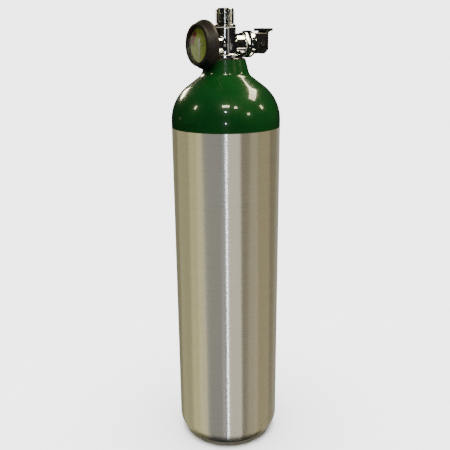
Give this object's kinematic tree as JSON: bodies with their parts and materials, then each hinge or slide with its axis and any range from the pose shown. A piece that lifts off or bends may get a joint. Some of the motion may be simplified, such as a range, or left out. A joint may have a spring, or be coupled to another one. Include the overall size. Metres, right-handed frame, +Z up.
{
  "type": "breathing gas cylinder",
  "caption": "Portable breathing-gas cylinder: bare aluminium barrel, enamelled shoulder, upright threaded outlet, flip-lever valve and booted pressure gauge.",
  "frame": {"origin": "centre of the flat base, on the cylinder's axis", "axes": "+Z up along the cylinder's axis, -X along the gauge's axis towards its face, +X along the valve spindle towards the lever, +Y towards the safety plug"},
  "size_m": [0.1112, 0.1112, 0.4662],
  "materials": {
    "bare_aluminium": "fine turned satin",
    "green_enamel": "deep gloss enamel",
    "chrome_brass": "polished chrome plate on brass",
    "brass": "machined",
    "sintered_bronze": "sintered or drawn bronze",
    "copper": "rolled copper",
    "stainless_steel": "fine brushed",
    "black_rubber": "satin moulded",
    "white_nylon": "turned nylon",
    "black_enamel": "gloss black over cast metal",
    "dial_face": "printed yellow-green dial",
    "pointer_white": "white lacquer",
    "clear_lens": "clear polycarbonate"
  },
  "bodies": {
    "cylinder": {"cylinder_shell": "bare_aluminium", "shoulder_enamel": "green_enamel", "neck_o_ring": "black_rubber", "valve_body": "chrome_brass", "anti_debris_tube": "brass", "outlet_gasket": "white_nylon", "outlet_connector": "chrome_brass", "outlet_filter": "sintered_bronze", "bonnet": "chrome_brass", "bonnet_gasket": "white_nylon", "spindle_o_ring": "black_rubber", "closing_spring": "stainless_steel", "thrust_washer": "brass", "gauge_seal": "white_nylon", "gauge_socket": "brass", "gauge_case": "stainless_steel", "gauge_boot": "black_rubber", "bourdon_tube": "sintered_bronze", "movement_plates": "brass", "hairspring": "stainless_steel", "gauge_dial": "dial_face", "dial_screws": "stainless_steel", "lens_gasket": "black_rubber", "gauge_lens": "clear_lens", "gauge_bezel": "stainless_steel", "safety_plug": "chrome_brass", "burst_disc": "copper", "burst_gasket": "white_nylon"},
    "spindle": {"spindle": "stainless_steel", "seat_disc": "white_nylon", "lever_pin": "stainless_steel", "pin_clips": "stainless_steel"},
    "lever": {"toggle_lever": "black_enamel"},
    "sector": {"sector_gear": "brass"},
    "pointer": {"gauge_pointer": "pointer_white", "pinion_arbor": "stainless_steel"},
    "link": {"movement_link": "stainless_steel"}
  },
  "joints": [
    {"name": "spindle_lift", "type": "slide", "parent": "cylinder", "child": "spindle", "axis": [1, 0, 0], "range_m": [0, 0.0016], "deforming": ["closing_spring"]},
    {"name": "lever_flip", "type": "hinge", "parent": "spindle", "child": "lever", "pos_m": [0.0406, 0, 0.432], "axis": [0, 1, 0], "range_deg": [0, 90]},
    {"name": "sector_swing", "type": "hinge", "parent": "cylinder", "child": "sector", "pos_m": [-0.027, 0.009, 0.432], "axis": [-1, 0, 0], "range_deg": [-67.5, 0]},
    {"name": "pointer_turn", "type": "hinge", "parent": "cylinder", "child": "pointer", "pos_m": [-0.027, 0, 0.432], "axis": [-1, 0, 0], "range_deg": [0, 270]},
    {"name": "link_swing", "type": "hinge", "parent": "sector", "child": "link", "pos_m": [-0.028, 0.01108, 0.4308], "axis": [-1, 0, 0], "range_deg": [0, 65]}
  ],
  "couplings": [
    {"joint": "lever_flip", "follows": "spindle_lift", "rad_per_m": 981.7},
    {"joint": "pointer_turn", "follows": "sector_swing", "ratio": -4},
    {"joint": "link_swing", "follows": "sector_swing", "ratio": -0.9556}
  ]
}
